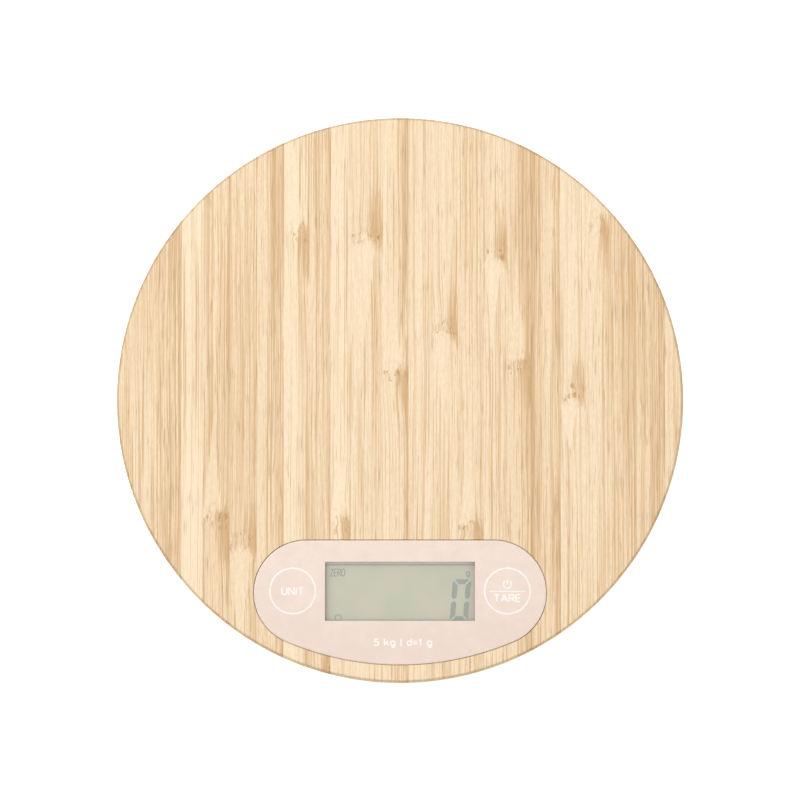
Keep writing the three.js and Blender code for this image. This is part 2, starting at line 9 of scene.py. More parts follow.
import bmesh
import bpy
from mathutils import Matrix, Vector


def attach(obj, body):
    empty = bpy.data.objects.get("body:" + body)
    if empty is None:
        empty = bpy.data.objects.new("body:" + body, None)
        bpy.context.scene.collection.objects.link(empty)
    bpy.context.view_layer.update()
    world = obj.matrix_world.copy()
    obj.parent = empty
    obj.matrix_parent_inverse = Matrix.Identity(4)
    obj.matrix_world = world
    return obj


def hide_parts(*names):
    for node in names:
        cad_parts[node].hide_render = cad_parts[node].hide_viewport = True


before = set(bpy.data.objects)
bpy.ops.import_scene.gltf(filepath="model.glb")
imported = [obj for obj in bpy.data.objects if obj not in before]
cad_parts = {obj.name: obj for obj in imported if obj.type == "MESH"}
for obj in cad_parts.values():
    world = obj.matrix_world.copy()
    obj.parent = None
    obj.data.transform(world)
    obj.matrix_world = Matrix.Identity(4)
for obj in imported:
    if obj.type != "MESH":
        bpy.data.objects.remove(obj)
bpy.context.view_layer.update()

MM = 0.001

# Platform and panel
DISC_RADIUS = 100
DISC_TOP = 18
DISC_BOTTOM = 10
DISC_EDGE = 1.2
RECESS_FLOOR = 17.1
END_X = 33
END_Y = -68.4
END_RADIUS = 18.7
FRONT_Y = 8.1
FRONT_RADIUS = 102
FILM_INSET = 0.22
FILM_BOTTOM = 17.4
FILM_TOP = 17.9
INK = 0.02
ARC_STEPS = 40
RECESS_EDGE = 0.12
ABOVE = 19  # over everything, where cutters end
SIGHT = (52.8, 20.8)
SIGHT_Y = -67.9
KEY_X = 37.8
KEY_Y = -67.8
KEY_RADIUS = 7.82
KEY_TOP = 17.86
RING_INNER = 7.7
RING_WALL = 7.9
RING_SEAT = 7.98
RING_OUTER = 8.3
LCD_TOP = 15.1
# middle between the two painted shadow lines on the display cell
SHADOW_LINES_MIDDLE_Y = -68.15

# Base
BASE_RADIUS = 92
BASE_BOTTOM = 3
BASE_FLOOR = 4.8
BASE_TOP = 9.7
FOOT_REACH = 72
FOOT_ANGLES = {"front_left": 225, "front_right": 315, "back_left": 135, "back_right": 45}
SCREW_PLACES = [(82, 0), (-82, 0), (28, 77), (-28, 77), (24, -44), (-24, -44)]
DOOR_PLACE = (0, 22)
LUG_ANGLES = (30, 150, 270)

# The board's strips from left to right: width, tone (0 cream, 1 honey), which side the fibres
# crowd to (0 left, 1 right), darkness of the joint on the right, and where the strip has a
# knuckle from a stem joint, as millimetres along the board (None where it has none).
STRIPS = [
    (12.5, 0.42, 0.5, 0.3, None),
    (10.5, 0.95, 0.7, 0.1, None),
    (7.5, 0.00, 0.5, 0.3, None),
    (9.5, 0.70, 0.6, 0.2, -40),
    (9.5, 0.66, 0.6, 0.5, -48),
    (9.5, 0.74, 0.9, 0.4, None),
    (9.0, 0.12, 0.9, 0.2, 61),
    (7.5, 0.5, 0.6, 0.9, -93),
    (7.0, 0.10, 0.5, 0.3, -41),
    (11.5, 0.3, 0.6, 0.2, 61),
    (9.0, 0.30, 0.9, 0.3, 11),
    (8.5, 0.24, 0.6, 0.2, None),
    (9.0, 0.28, 0.5, 0.2, 27),
    (9.0, 0.43, 0.6, 0.3, -43),
    (8.5, 0.28, 0.6, 0.2, 54),
    (8.5, 0.78, 0.9, 0.9, 15),
    (5.0, 0.98, 0.1, 0.2, None),
    (5.0, 0.75, 0.9, 0.8, None),
    (9.0, 0.20, 0.5, 0.2, 5),
    (8.5, 0.30, 0.5, 0.3, 64),
    (9.5, 0.70, 0.6, 0.2, None),
    (10.0, 0.95, 0.7, 0.9, None),
    (6.5, 0.38, 0.5, 0.2, None),
]
KNUCKLE_SPAN = 150

BOWL = [(1, 0.5), (0.7, 0.68), (0.28, 0.68), (0, 0.48), (0, 0.2), (0.28, 0), (0.7, 0),
        (1, 0.16)]

# Plain single-stroke letters: the width of each, then its strokes on a square of side 1.
LETTERS = {
    "A": (0.85, [[(0, 0), (0.52, 1)], [(0.48, 1), (1, 0)], [(0.19, 0.33), (0.81, 0.33)]]),
    "E": (0.62, [[(1, 1), (0, 1), (0, 0), (1, 0)], [(0, 0.52), (0.9, 0.52)]]),
    "I": (0.12, [[(0.5, 0), (0.5, 1)]]),
    "N": (0.78, [[(0, -0.05), (0, 1.05)], [(0, 0.97), (1, 0.03)], [(1, -0.05), (1, 1.05)]]),
    "O": (0.75, [[(0.5, 1), (0.2, 1), (0, 0.75), (0, 0.25), (0.2, 0), (0.8, 0), (1, 0.25),
                  (1, 0.75), (0.8, 1), (0.5, 1)]]),
    "R": (0.7, [[(0, 0), (0, 1.04)], [(-0.05, 1), (0.7, 1), (1, 0.86), (1, 0.64), (0.7, 0.5),
                                     (0.05, 0.5)],
                [(0.55, 0.5), (1, 0)]]),
    "T": (0.72, [[(0, 1), (1, 1)], [(0.5, 0.98), (0.5, 0)]]),
    "U": (0.75, [[(0, 1), (0, 0.28), (0.22, 0), (0.78, 0), (1, 0.28), (1, 1)]]),
    "Z": (0.68, [[(0, 1), (1.05, 1)], [(0.97, 1), (0.03, 0)], [(-0.05, 0), (1, 0)]]),
    "5": (0.6, [[(0.95, 1), (0.12, 1), (0.05, 0.56), (0.65, 0.6), (1, 0.42), (1, 0.18),
                 (0.7, 0), (0.25, 0), (0, 0.12)]]),
    "1": (0.3, [[(-0.1, 0.7), (0.75, 1)], [(0.7, 1.07), (0.7, 0)]]),
    "d": (0.56, [[(1, 1.05), (1, 0)], BOWL]),
    "k": (0.55, [[(0, 1.05), (0, 0)], [(0.9, 0.68), (0.05, 0.26)], [(0.35, 0.42), (1, 0)]]),
    "g": (0.56, [[(1, 0.68), (1, -0.12), (0.75, -0.28), (0.15, -0.28)], BOWL]),
    "=": (0.5, [[(0, 0.58), (1, 0.58)], [(0, 0.24), (1, 0.24)]]),
    "|": (0.1, [[(0.5, -0.12), (0.5, 1.05)]]),
    " ": (0.25, []),
}
LETTER_SPACE = 0.26

# Light and camera, distances in metres and powers in watts
TABLE_GLOW = 0.52
ROOM_LIGHT = 0.405
CAMERA_ELEVATION = 85.5
CAMERA_DISTANCE = 2.0
CAMERA_AIM_Y = -0.35  # millimetres
FIELD_WIDTH = 0.2823  # how much the picture takes in
SENSOR = 36  # millimetres

# Node settings that come back
TIMES = {"operation": "MULTIPLY"}
TIMES_PLUS = {"operation": "MULTIPLY_ADD"}
MINUS = {"operation": "SUBTRACT"}
SMOOTH = {"interpolation_type": "SMOOTHSTEP"}
COLOUR = {"data_type": "RGBA"}


# ---------------------------------------------------------------- small helpers

def tint(code, alpha=1.0):
    """An sRGB hex colour as the linear colour that a shader takes."""
    parts = [int(code[i:i + 2], 16) / 255 for i in (1, 3, 5)]
    linear = [p / 12.92 if p <= 0.04045 else ((p + 0.055) / 1.055) ** 2.4 for p in parts]
    return (*linear, alpha)


def add(tree, kind, settings=None, inputs=None):
    """Add a node with its settings and its inputs: values, sockets, or nodes to link from."""
    node = tree.nodes.new(kind)
    for name, value in (settings or {}).items():
        setattr(node, name, value)
    shown = [socket for socket in node.inputs if socket.enabled]
    for key, value in (inputs or {}).items():
        socket = shown[key] if isinstance(key, int) else next(s for s in shown if s.name == key)
        if isinstance(value, bpy.types.Node):
            value = next(s for s in value.outputs if s.enabled)
        if isinstance(value, bpy.types.NodeSocket):
            tree.links.new(value, socket)
        else:
            socket.default_value = value
    return node


def link(tree, source, node, name):
    """Link a node's output to a named input of another node."""
    tree.links.new(next(s for s in source.outputs if s.enabled), node.inputs[name])


def new_finish(name, values):
    """A material with one Principled shader, and the place on the surface in millimetres."""
    material = bpy.data.materials.new(name)
    material.use_nodes = True
    tree = material.node_tree
    shader = tree.nodes["Principled BSDF"]
    for key, value in values.items():
        shader.inputs[key].default_value = value
    coords = add(tree, "ShaderNodeTexCoord")
    place = add(tree, "ShaderNodeVectorMath", {"operation": "SCALE"},
                {0: coords.outputs["Object"], "Scale": 1000.0})
    return material, tree, shader, place


def stretched(tree, place, scale, shift=None):
    """The place scaled along each axis, so that a pattern is as long and wide as it should be."""
    return add(tree, "ShaderNodeVectorMath", TIMES_PLUS,
               {0: place, 1: scale, 2: shift if shift is not None else (0, 0, 0)})


def tilt(tree):
    """How far the surface faces up: 1 on a level face, 0 on an upright one."""
    facing = add(tree, "ShaderNodeNewGeometry")
    return add(tree, "ShaderNodeSeparateXYZ", None, {0: facing.outputs["Normal"]}).outputs["Z"]


def layered(tree, ground, layers):
    """Lay colours over a ground, each given as (amount, colour)."""
    for amount, colour in layers:
        ground = add(tree, "ShaderNodeMix", COLOUR, {0: amount, 1: ground, 2: tint(colour)})
    return ground


def coloured(tree, shader, blend, colours, layers=()):
    """Colour the surface with two colours blended by a pattern, and with layers over them."""
    ground = add(tree, "ShaderNodeMix", COLOUR,
                 {0: blend, 1: tint(colours[0]), 2: tint(colours[1])})
    link(tree, layered(tree, ground, layers), shader, "Base Color")


def dulled(tree, shader, pattern, low, high):
    """Let the roughness follow a pattern from low to high."""
    rough = add(tree, "ShaderNodeMapRange", None,
                {"Value": pattern, "From Min": 0.3, "From Max": 0.7,
                 "To Min": low, "To Max": high})
    link(tree, rough, shader, "Roughness")


def bumped(tree, shader, height, depth):
    """Raise the surface by a pattern, depth in millimetres."""
    bump = add(tree, "ShaderNodeBump", None, {"Distance": depth * MM, "Height": height})
    link(tree, bump, shader, "Normal")


# ---------------------------------------------------------------- finishes

def bamboo():
    """Bamboo board: split stems planed to strips, glued edge to edge, sanded and oiled.

    The eye gets cream and honey strips, fine brown fibre lines that crowd to one side of a
    strip, thin glue lines, and a smeared knuckle where a strip held a stem joint.
    """
    material, tree, shader, place = new_finish("bamboo_board", {"IOR": 1.5})
    across, along, up = add(tree, "ShaderNodeSeparateXYZ", None, {0: place}).outputs

    # which strip, and how far across it
    share = add(tree, "ShaderNodeMapRange", None,
                {"Value": across, "From Min": -DISC_RADIUS, "From Max": DISC_RADIUS})
    order = add(tree, "ShaderNodeFloatCurve", None, {"Value": share})
    curve = order.mapping.curves[0]
    running = 0
    for number, strip in enumerate(STRIPS[:-1]):
        running += strip[0]
        curve.points.new(running / (2 * DISC_RADIUS), (number + 1) / len(STRIPS))
    for point in curve.points:
        point.handle_type = "VECTOR"
    order.mapping.update()
    row = add(tree, "ShaderNodeMath", TIMES, {0: order, 1: len(STRIPS)})
    number = add(tree, "ShaderNodeMath", {"operation": "FLOOR"}, {0: row})
    within = add(tree, "ShaderNodeMath", {"operation": "FRACT"}, {0: row})

    # what the strip is like
    lookup = add(tree, "ShaderNodeMath", TIMES_PLUS,
                 {0: number, 1: 1 / len(STRIPS), 2: 0.5 / len(STRIPS)})
    record = add(tree, "ShaderNodeValToRGB", None, {"Fac": lookup})
    ramp = record.color_ramp
    ramp.interpolation = "CONSTANT"
    for index, (_, tone, lean, joint, knuckle) in enumerate(STRIPS):
        if index < 2:
            stop = ramp.elements[index]
            stop.position = index / len(STRIPS)
        else:
            stop = ramp.elements.new(index / len(STRIPS))
        spot = 0 if knuckle is None else (knuckle + KNUCKLE_SPAN) / (2 * KNUCKLE_SPAN)
        stop.color = (tone, spot, lean, joint)
    facts = add(tree, "ShaderNodeSeparateColor", None, {0: record.outputs["Color"]})
    tone, spot, lean = facts.outputs
    joint = record.outputs["Alpha"]
    luck = add(tree, "ShaderNodeTexWhiteNoise", {"noise_dimensions": "1D"}, {"W": number})
    chance = add(tree, "ShaderNodeSeparateColor", None, {0: luck.outputs["Color"]})
    shift = add(tree, "ShaderNodeVectorMath", {"operation": "SCALE"},
                {0: luck.outputs["Color"], "Scale": 300.0})

    # slow patterns, each squeezed to so many waves per millimetre across and along the strip
    slow = {}
    for name, wide, long in (("ripple", 0.3, 0.12), ("wander", 0.12, 0.02), ("curl", 0.5, 0.38)):
        slow[name] = add(tree, "ShaderNodeTexNoise", None,
                         {"Vector": stretched(tree, place, (wide, long, wide), shift),
                          "Scale": 1.0, "Detail": 1.0})

    # distance along the strip from its knuckle, bowed across the strip
    middle = add(tree, "ShaderNodeMath", MINUS, {0: within, 1: 0.5})
    bow = add(tree, "ShaderNodeMath", {"operation": "POWER"}, {0: middle, 1: 2.0})
    home = add(tree, "ShaderNodeMapRange", None,
               {"Value": spot, "To Min": -KNUCKLE_SPAN, "To Max": KNUCKLE_SPAN})
    level = add(tree, "ShaderNodeMath", MINUS, {0: along, 1: home})
    level = add(tree, "ShaderNodeMath", TIMES_PLUS, {0: bow, 1: 9.0, 2: level})
    level = add(tree, "ShaderNodeMath", TIMES_PLUS, {0: slow["ripple"], 1: 4.0, 2: level})
    off = add(tree, "ShaderNodeMath", {"operation": "ABSOLUTE"}, {0: level})
    knuckle = add(tree, "ShaderNodeMapRange", SMOOTH,
                  {"Value": off, "From Min": 0.5, "From Max": 6.5, "To Min": 1.0, "To Max": 0.0})
    turn = add(tree, "ShaderNodeMath", {"operation": "GREATER_THAN"},
               {0: chance.outputs[0], 1: 0.6})
    turn = add(tree, "ShaderNodeMath", TIMES_PLUS, {0: turn, 1: 2.0, 2: -1.0})
    run = add(tree, "ShaderNodeMath", TIMES, {0: level, 1: turn})

    # fibres run almost straight, wander round a knuckle and curl inside it
    drift = add(tree, "ShaderNodeMapRange", SMOOTH,
                {"Value": off, "From Min": 4.0, "From Max": 30.0, "To Min": 5.0, "To Max": 1.4})
    curl_zone = add(tree, "ShaderNodeMapRange", SMOOTH,
                    {"Value": off, "From Max": 8.0, "To Min": 1.5, "To Max": 0.0})
    sway = add(tree, "ShaderNodeMath", MINUS, {0: slow["wander"], 1: 0.5})
    sway = add(tree, "ShaderNodeMath", TIMES, {0: sway, 1: drift})
    curl = add(tree, "ShaderNodeMath", MINUS, {0: slow["curl"], 1: 0.5})
    sway = add(tree, "ShaderNodeMath", TIMES_PLUS, {0: curl, 1: curl_zone, 2: sway})
    moved = add(tree, "ShaderNodeMath", {"operation": "ADD"}, {0: across, 1: sway})
    bent = add(tree, "ShaderNodeCombineXYZ", None, {0: moved, 1: along, 2: up})

    # Lines and threads are fibre bundles 0.4 to 0.8 mm across that run for many centimetres.
    # Dashes are bundles cut short, grain and fleck the soft tissue between, cloud the slow
    # change of tone, and stubs the fibre ends in a knuckle.
    fine = {}
    for name, wide, long, detail, rough, torn in (
        ("lines", 1.6, 0.007, 2.0, 0.65, 0.0),
        ("threads", 2.3, 0.012, 1.0, 0.5, 0.0),
        ("dashes", 2.2, 0.1, 1.0, 0.5, 0.0),
        ("grain", 2.0, 0.02, 2.0, 0.85, 0.0),
        ("fleck", 2.4, 0.5, 1.0, 0.6, 0.0),
        ("cloud", 0.33, 0.012, 2.0, 0.5, 0.0),
        ("stubs", 1.3, 0.42, 1.0, 0.5, 0.6),
    ):
        fine[name] = add(tree, "ShaderNodeTexNoise", None,
                         {"Vector": stretched(tree, bent, (wide, long, wide), shift),
                          "Scale": 1.0, "Detail": detail, "Roughness": rough,
                          "Distortion": torn})

    # fibres crowd to the side that grew outermost in the stem
    side = add(tree, "ShaderNodeMath", MINUS, {0: lean, 1: 0.5})
    crowd = add(tree, "ShaderNodeMath", TIMES, {0: side, 1: middle})
    crowd = add(tree, "ShaderNodeMath", TIMES, {0: crowd, 1: 2.0})
    broad = add(tree, "ShaderNodeMapRange", None,
                {"Value": fine["cloud"], "From Min": 0.3, "From Max": 0.7,
                 "To Min": -0.5, "To Max": 0.5})
    density = add(tree, "ShaderNodeMath", TIMES_PLUS, {0: tone, 1: 0.5, 2: crowd})
    density = add(tree, "ShaderNodeMath", TIMES_PLUS, {0: broad, 1: 0.4, 2: density})

    # on one side of a knuckle a clear cream tongue runs away from it
    length = add(tree, "ShaderNodeMath", TIMES_PLUS, {0: chance.outputs[1], 1: 30.0, 2: 20.0})
    taper = add(tree, "ShaderNodeMath", {"operation": "DIVIDE"}, {0: run, 1: length})
    breadth = add(tree, "ShaderNodeMapRange", None,
                  {"Value": taper, "From Min": 0.05, "To Min": 0.36, "To Max": 0.0})
    breadth = add(tree, "ShaderNodeMath", TIMES_PLUS, {0: sway, 1: 0.1, 2: breadth})
    tip = add(tree, "ShaderNodeMath", {"operation": "ADD"}, {0: middle, 1: 0.12})
    tip = add(tree, "ShaderNodeMath", {"operation": "ABSOLUTE"}, {0: tip})
    inner = add(tree, "ShaderNodeMath", MINUS, {0: breadth, 1: tip})
    tongue = add(tree, "ShaderNodeMapRange", SMOOTH,
                 {"Value": inner, "From Min": -0.04, "From Max": 0.1})
    ahead = add(tree, "ShaderNodeMapRange", SMOOTH,
                {"Value": run, "From Min": 0.5, "From Max": 3.5})
    tongue = add(tree, "ShaderNodeMath", TIMES, {0: tongue, 1: ahead})

    # on the other side the fibres gather into an orange bundle
    flank = add(tree, "ShaderNodeMapRange", SMOOTH,
                {"Value": middle, "From Min": -0.1, "From Max": 0.3})
    behind = add(tree, "ShaderNodeMapRange", SMOOTH,
                 {"Value": run, "From Min": -20.0, "From Max": -2.0})
    ending = add(tree, "ShaderNodeMapRange", SMOOTH,
                 {"Value": run, "From Max": 6.0, "To Min": 1.0, "To Max": 0.0})
    bundle = add(tree, "ShaderNodeMath", TIMES, {0: flank, 1: behind})
    bundle = add(tree, "ShaderNodeMath", TIMES, {0: bundle, 1: ending})

    # how strongly the fibres mark the surface: more where they are dense, less in the tongue
    thin = add(tree, "ShaderNodeMath", TIMES_PLUS, {0: tongue, 1: -0.8, 2: density})
    thin = add(tree, "ShaderNodeMath", TIMES_PLUS, {0: bundle, 1: 0.7, 2: thin})
    marks = {}
    for name, pull, low, high in (
        ("lines", 0.24, 0.55, 0.67),
        ("threads", 0.22, 0.62, 0.7),
        ("dashes", 0.14, 0.6, 0.8),
    ):
        mark = add(tree, "ShaderNodeMath", TIMES_PLUS, {0: thin, 1: pull, 2: fine[name]})
        marks[name] = add(tree, "ShaderNodeMapRange", SMOOTH,
                          {"Value": mark, "From Min": low, "From Max": high})

    # joint between two strips: a thread of glue that comes and goes
    gap_right = add(tree, "ShaderNodeMapRange", SMOOTH,
                    {"Value": within, "From Min": 0.93, "From Max": 0.98})
    fade = add(tree, "ShaderNodeTexNoise", {"noise_dimensions": "2D"},
               {"Vector": add(tree, "ShaderNodeCombineXYZ", None, {0: number, 1: along}),
                "Scale": 0.05, "Detail": 2.0})
    fade = add(tree, "ShaderNodeMapRange", None,
               {"Value": fade, "From Min": 0.3, "From Max": 0.6})
    glue = add(tree, "ShaderNodeMath", TIMES, {0: gap_right, 1: joint})
    glue = add(tree, "ShaderNodeMath", TIMES, {0: glue, 1: fade})

    # the smear of a knuckle: stubs of fibre in patches
    smear = add(tree, "ShaderNodeMapRange", SMOOTH,
                {"Value": fine["stubs"], "From Min": 0.5, "From Max": 0.68, "To Max": 0.75})
    patchy = add(tree, "ShaderNodeMapRange", SMOOTH,
                 {"Value": curl, "From Min": -0.12, "From Max": 0.14, "To Min": 0.15})
    smear = add(tree, "ShaderNodeMath", TIMES, {0: smear, 1: knuckle})

    # ground colour from cream to honey
    body = add(tree, "ShaderNodeMath", TIMES_PLUS, {0: broad, 1: 0.45, 2: tone})
    body = add(tree, "ShaderNodeMath", TIMES_PLUS, {0: crowd, 1: 0.8, 2: body})
    body = add(tree, "ShaderNodeMath", {**TIMES_PLUS, "use_clamp": True},
               {0: tongue, 1: -0.5, 2: body})
    ground = add(tree, "ShaderNodeMix", COLOUR, {0: body, 1: tint("#ffebc9"), 2: tint("#fde4bd")})

    # a cream strip is plainer than a honey one
    plain = add(tree, "ShaderNodeMapRange", None, {"Value": tone, "From Max": 0.5, "To Min": 0.45})
    grain = add(tree, "ShaderNodeMapRange", None,
                {"Value": fine["grain"], "From Min": 0.3, "From Max": 0.7, "To Max": 0.7})
    fleck = add(tree, "ShaderNodeMapRange", None,
                {"Value": fine["fleck"], "From Min": 0.38, "From Max": 0.7, "To Max": 0.65})
    for amount, strength, colour in (
        (grain, plain, "#f0d0aa"),
        (fleck, plain, "#ebcdaa"),
        (marks["lines"], 0.58, "#deb98a"),
        (marks["threads"], 0.75, "#d5ad7a"),
        (marks["dashes"], 0.6, "#bd986d"),
        (bundle, 0.35, "#d9ac74"),
        (smear, patchy, "#b5834c"),
        (glue, 0.75, "#b5864f"),
    ):
        amount = add(tree, "ShaderNodeMath", TIMES, {0: amount, 1: strength})
        ground = layered(tree, ground, [(amount, colour)])

    # the rim is darker: painted shade for the rim, which gets less light than the top, and partly
    # cut ends that drink more oil than the faces
    rim_oil_and_shade = add(tree, "ShaderNodeMapRange", SMOOTH,
              {"Value": tilt(tree), "From Min": 0.999, "From Max": 0.88})
    ground = add(tree, "ShaderNodeMix", {**COLOUR, "blend_type": "MULTIPLY"},
                 {0: rim_oil_and_shade, 1: ground, 2: tint("#e0dcd4")})
    link(tree, ground, shader, "Base Color")
    dulled(tree, shader, fine["grain"], 0.48, 0.62)
    relief = add(tree, "ShaderNodeMath", TIMES_PLUS,
                 {0: marks["lines"], 1: -0.6, 2: fine["grain"]})
    bumped(tree, shader, relief, 0.03)
    return material


def mottled(name, colours, scale, roughness, depth, values=None):
    """A cast or moulded surface: two close colours in soft patches over a fine tooth.

    scale is patches per millimetre, and depth the height of the tooth in millimetres.
    """
    material, tree, shader, place = new_finish(name, values or {})
    patch = add(tree, "ShaderNodeTexNoise", None,
                {"Vector": place, "Scale": scale, "Detail": 3.0, "Roughness": 0.55})
    blend = add(tree, "ShaderNodeMapRange", None,
                {"Value": patch, "From Min": 0.35, "From Max": 0.65})
    coloured(tree, shader, blend, colours)
    tooth = add(tree, "ShaderNodeTexNoise", None,
                {"Vector": place, "Scale": 6.0 * scale, "Detail": 2.0})
    dulled(tree, shader, tooth, roughness - 0.05, roughness + 0.05)
    bumped(tree, shader, tooth, depth)
    return material


def printed_film():
    """Panel film: clear polyester printed pale pink on its back, die cut and bonded down.

    The eye gets an even pink with painted shade that deepens it a little towards the front, soft
    cloudy patches, and a painted highlight, a bright thread along every cut edge.
    """
    material, tree, shader, place = new_finish("printed_film", {"IOR": 1.57})
    axes = add(tree, "ShaderNodeSeparateXYZ", None, {0: place})
    patch = add(tree, "ShaderNodeTexNoise", None,
                {"Vector": place, "Scale": 0.09, "Detail": 4.0, "Roughness": 0.6})
    patch = add(tree, "ShaderNodeMapRange", None,
                {"Value": patch, "From Min": 0.35, "From Max": 0.65, "To Min": -0.6, "To Max": 0.6})
    # painted shade: the pink darkens towards the front, away from the light
    depth = add(tree, "ShaderNodeMapRange", None,
                {"Value": axes.outputs["Y"], "From Min": -54.0, "From Max": -90.0})
    blend = add(tree, "ShaderNodeMath", {"operation": "ADD", "use_clamp": True},
                {0: patch, 1: depth})
    cloud = add(tree, "ShaderNodeTexNoise", None,
                {"Vector": place, "Scale": 0.28, "Detail": 3.0, "Roughness": 0.6})
    cloud = add(tree, "ShaderNodeMapRange", None,
                {"Value": cloud, "From Min": 0.35, "From Max": 0.7, "To Max": 0.55})
    # painted highlight: a bright thread along every cut edge of the film, where the edge catches the
    # light
    edge = add(tree, "ShaderNodeMapRange", SMOOTH,
               {"Value": tilt(tree), "From Min": 0.99, "From Max": 0.92, "To Max": 0.9})
    coloured(tree, shader, blend, ("#f3dfd2", "#ecd8ca"),
             [(cloud, "#ebd3c4"), (edge, "#fff8ee")])
    tooth = add(tree, "ShaderNodeTexNoise", None, {"Vector": place, "Scale": 2.5, "Detail": 2.0})
    dulled(tree, shader, tooth, 0.36, 0.46)
    bumped(tree, shader, tooth, 0.004)
    return material


def display_glass():
    """Display cell: two thin panes of glass with liquid crystal and a grey-green polariser.

    The eye gets a soft grey-green with warm patches, painted shade towards the two ends where light
    is lost under the film, and painted shadow lines along its back and front edges under the frame.
    """
    material, tree, shader, place = new_finish("display_glass", {"IOR": 1.52, "Roughness": 0.35})
    axes = add(tree, "ShaderNodeSeparateXYZ", None, {0: place})
    patch = add(tree, "ShaderNodeTexNoise", None,
                {"Vector": place, "Scale": 0.09, "Detail": 4.0, "Roughness": 0.6})
    patch = add(tree, "ShaderNodeMapRange", None,
                {"Value": patch, "From Min": 0.35, "From Max": 0.65})
    # painted shade: the cell darkens towards its two ends, where light is lost under the film
    reach = add(tree, "ShaderNodeMath", {"operation": "ABSOLUTE"}, {0: axes.outputs["X"]})
    ends = add(tree, "ShaderNodeMapRange", SMOOTH,
               {"Value": reach, "From Min": 22.5, "From Max": 27.5, "To Max": 0.75})
    # painted shadow: dark lines along the back and front edges of the cell, under the frame's ledge
    middle = add(tree, "ShaderNodeMath", MINUS, {0: axes.outputs["Y"], 1: SHADOW_LINES_MIDDLE_Y})
    middle = add(tree, "ShaderNodeMath", {"operation": "ABSOLUTE"}, {0: middle})
    painted_shadow_lines = add(tree, "ShaderNodeMapRange", SMOOTH,
                 {"Value": middle, "From Min": 9.35, "From Max": 9.5, "To Max": 0.5})
    coloured(tree, shader, patch, ("#cac2a9", "#bec0a2"),
             [(ends, "#b9a996"), (painted_shadow_lines, "#958d80")])
    haze = add(tree, "ShaderNodeTexNoise", None, {"Vector": place, "Scale": 3.0, "Detail": 2.0})
    bumped(tree, shader, haze, 0.002)
    return material


def rolled(name, colours, along, roughness, values=None):
    """Sheet metal: close lines left by the rolls, which run along one axis, and dull patches.

    Roll lines are finer than 0.1 mm and are drawn at 0.25 mm so that they show.
    """
    material, tree, shader, place = new_finish(name, {"Metallic": 1.0, **(values or {})})
    scale = [4.0, 4.0, 4.0]
    scale[along] = 0.08
    lines = add(tree, "ShaderNodeTexNoise", None,
                {"Vector": stretched(tree, place, scale), "Scale": 1.0, "Detail": 3.0})
    dull = add(tree, "ShaderNodeTexNoise", None,
               {"Vector": place, "Scale": 0.25, "Detail": 4.0, "Roughness": 0.65})
    blend = add(tree, "ShaderNodeMath", {**TIMES_PLUS, "use_clamp": True},
                {0: lines, 1: 0.5, 2: dull})
    blend = add(tree, "ShaderNodeMapRange", None,
                {"Value": blend, "From Min": 0.55, "From Max": 0.95})
    coloured(tree, shader, blend, colours)
    dulled(tree, shader, dull, roughness - 0.08, roughness + 0.1)
    bumped(tree, shader, lines, 0.006)
    return material


def spun(name, colours, centre, roughness):
    """Pressed or turned metal: fine rings about an upright axis, with a few dull patches.

    The rings are 0.1 mm apart on the real one and are drawn 0.4 mm apart so that they show.
    """
    material, tree, shader, place = new_finish(name, {"Metallic": 1.0})
    about = stretched(tree, place, (1, 1, 0), (-centre[0], -centre[1], 0))
    rings = add(tree, "ShaderNodeTexWave", {"wave_type": "RINGS", "rings_direction": "SPHERICAL"},
                {"Vector": about, "Scale": 0.8, "Distortion": 0.6, "Detail": 2.0,
                 "Detail Scale": 3.0})
    dull = add(tree, "ShaderNodeTexNoise", None,
               {"Vector": place, "Scale": 0.5, "Detail": 4.0, "Roughness": 0.6})
    blend = add(tree, "ShaderNodeMath", TIMES_PLUS, {0: rings, 1: 0.3, 2: dull})
    coloured(tree, shader, blend, colours)
    dulled(tree, shader, dull, roughness - 0.06, roughness + 0.08)
    bumped(tree, shader, rings, 0.004)
    return material


def banded(name, colours, pitch, axis, roughness):
    """Even stripes square to one axis, pitch millimetres apart, with slightly ragged edges."""
    material, tree, shader, place = new_finish(name, {"Roughness": roughness})
    bands = add(tree, "ShaderNodeTexWave",
                {"wave_type": "BANDS", "bands_direction": axis, "wave_profile": "SIN"},
                {"Vector": place, "Scale": 0.314 / pitch, "Distortion": 0.3, "Detail": 2.0})
    share = add(tree, "ShaderNodeMapRange", SMOOTH,
                {"Value": bands, "From Min": 0.4, "From Max": 0.6})
    coloured(tree, shader, share, colours)
    bumped(tree, shader, bands, 0.01)
    return material


